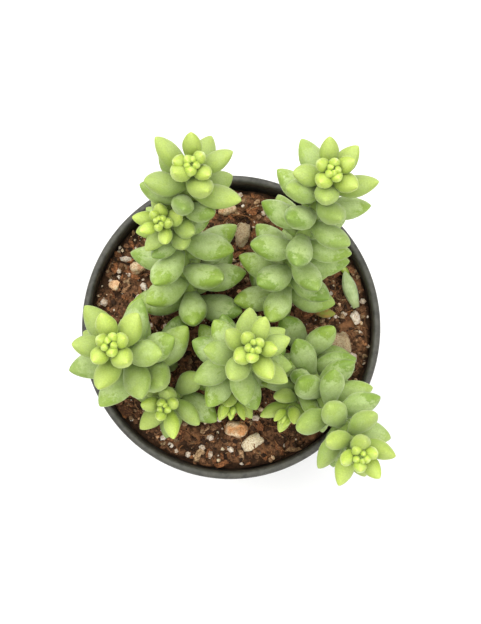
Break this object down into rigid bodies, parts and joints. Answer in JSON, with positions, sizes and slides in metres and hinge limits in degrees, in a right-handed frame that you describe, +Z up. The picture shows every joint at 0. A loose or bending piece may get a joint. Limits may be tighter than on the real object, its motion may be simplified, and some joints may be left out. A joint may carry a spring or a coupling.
{
  "type": "potted burro's tail plant",
  "caption": "Trailing succulent with plump overlapping leaves on several leaning stems, planted in gritty mix in a round tapered nursery pot with drain holes.",
  "frame": {"origin": "centre of the pot's flat underside, on the surface it stands on", "axes": "+Z up along the pot's axis, +X to the right and +Y to the back as the picture shows it from above"},
  "size_m": [0.105, 0.1112, 0.1558],
  "materials": {
    "pot": "thin moulded charcoal plastic, satin, slightly dusty",
    "soil": "damp dark brown bark and coir mix with fine grit",
    "leaf": "plump living leaf with a pale waxy bloom, yellow-green when young",
    "yellow_leaf": "dying yellow-brown leaf, limp and dull",
    "pumice": "rough pinkish-tan pumice",
    "perlite": "rough white expanded perlite"
  },
  "bodies": {
    "root": {"pot": "pot", "soil": "soil", "pumice_front": "pumice", "pumice_front_right": "pumice", "pumice_back": "pumice", "pumice_right": "pumice", "pumice_left": "pumice", "pumice_back_left": "pumice", "pumice_small_left": "pumice", "perlite_right": "perlite", "perlite_front_right": "perlite", "dropped_leaf": "leaf", "dropped_young_leaf": "leaf", "dropped_yellow_leaf": "yellow_leaf", "stem_centre": "leaf", "stem_back_left": "leaf", "stem_back_right": "leaf", "stem_left": "leaf", "stem_front_right": "leaf", "stem_front_left": "leaf"}
  },
  "joints": []
}
